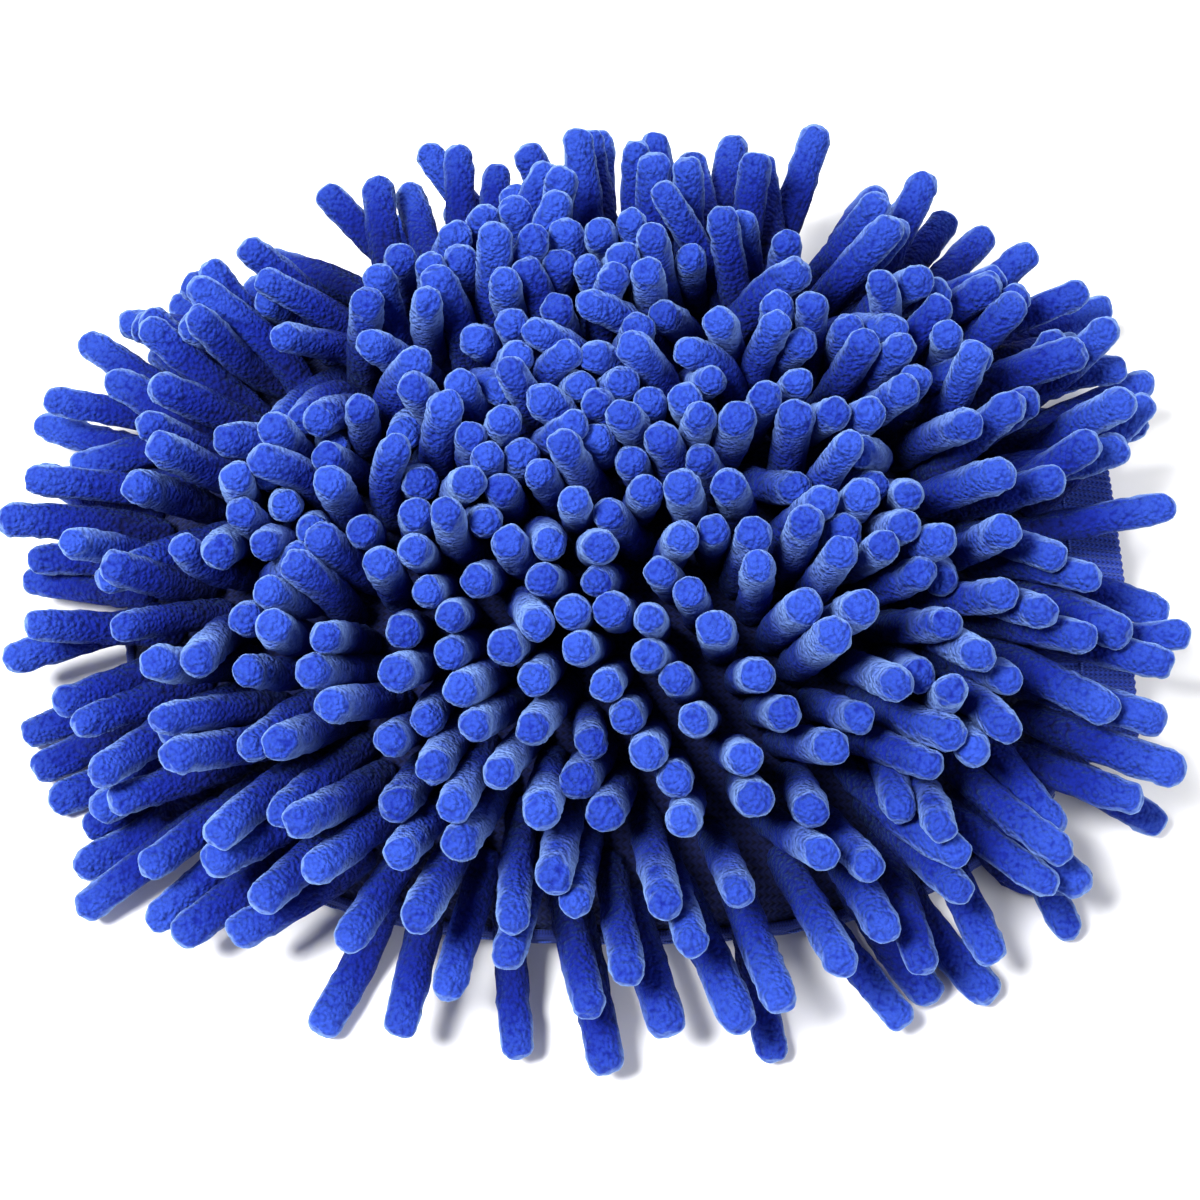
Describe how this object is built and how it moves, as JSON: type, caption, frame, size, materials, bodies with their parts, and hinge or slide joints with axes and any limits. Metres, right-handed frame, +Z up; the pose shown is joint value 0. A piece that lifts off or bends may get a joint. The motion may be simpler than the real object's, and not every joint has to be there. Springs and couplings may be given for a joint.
{
  "type": "wash mitt",
  "caption": "Oval padded hand pocket with rows of long soft pile fingers on its domed top, a mesh back, an elastic knit cuff and a fold-out hang loop.",
  "frame": {"origin": "middle of the body outline, on the plane that the back panel lies on", "axes": "+X from the fingertips to the wrist, +Y across the palm, +Z up through the pile"},
  "size_m": [0.2452, 0.2204, 0.0723],
  "materials": {
    "chenille": "short velvety microfibre pile",
    "backing_knit": "fine warp knit",
    "sponge": "open-cell foam",
    "lining_cloth": "smooth tricot",
    "mesh_cloth": "open hexagonal mesh knit",
    "binding_tape": "ribbed tape",
    "thread": "twisted thread",
    "rib_knit": "ribbed stretch knit",
    "elastic_webbing": "woven elastic",
    "braid": "flat braid",
    "label_cloth": "satin label cloth"
  },
  "bodies": {
    "mitt": {"pile_backing": "backing_knit", "sponge_pad": "sponge", "front_lining": "lining_cloth", "back_panel": "mesh_cloth", "back_lining": "lining_cloth", "edge_binding": "binding_tape", "binding_stitches": "thread", "cuff": "rib_knit", "cuff_elastic": "elastic_webbing", "hem_facing": "rib_knit", "hem_stitches": "thread", "loop_bar_tacks": "thread", "label_tacks": "thread", "pile_row_01": "chenille", "pile_row_02": "chenille", "pile_row_03": "chenille", "pile_row_04": "chenille", "pile_row_05": "chenille", "pile_row_06": "chenille", "pile_row_07": "chenille", "pile_row_08": "chenille", "pile_row_09": "chenille", "pile_row_10": "chenille", "pile_row_11": "chenille", "pile_row_12": "chenille", "pile_row_13": "chenille", "pile_row_14": "chenille", "pile_row_15": "chenille", "pile_row_16": "chenille", "pile_row_17": "chenille", "pile_row_18": "chenille", "pile_row_19": "chenille", "pile_row_20": "chenille", "pile_row_21": "chenille"},
    "loop": {"hang_loop": "braid"},
    "label": {"care_label": "label_cloth"}
  },
  "joints": [
    {"name": "loop_fold", "type": "hinge", "parent": "mitt", "child": "loop", "pos_m": [0.1068, 0.018, 0.0008], "axis": [0, -1, 0], "range_deg": [0, 180]},
    {"name": "label_fold", "type": "hinge", "parent": "mitt", "child": "label", "pos_m": [0.1068, -0.02, 0.0008], "axis": [0, -1, 0], "range_deg": [0, 180]}
  ]
}
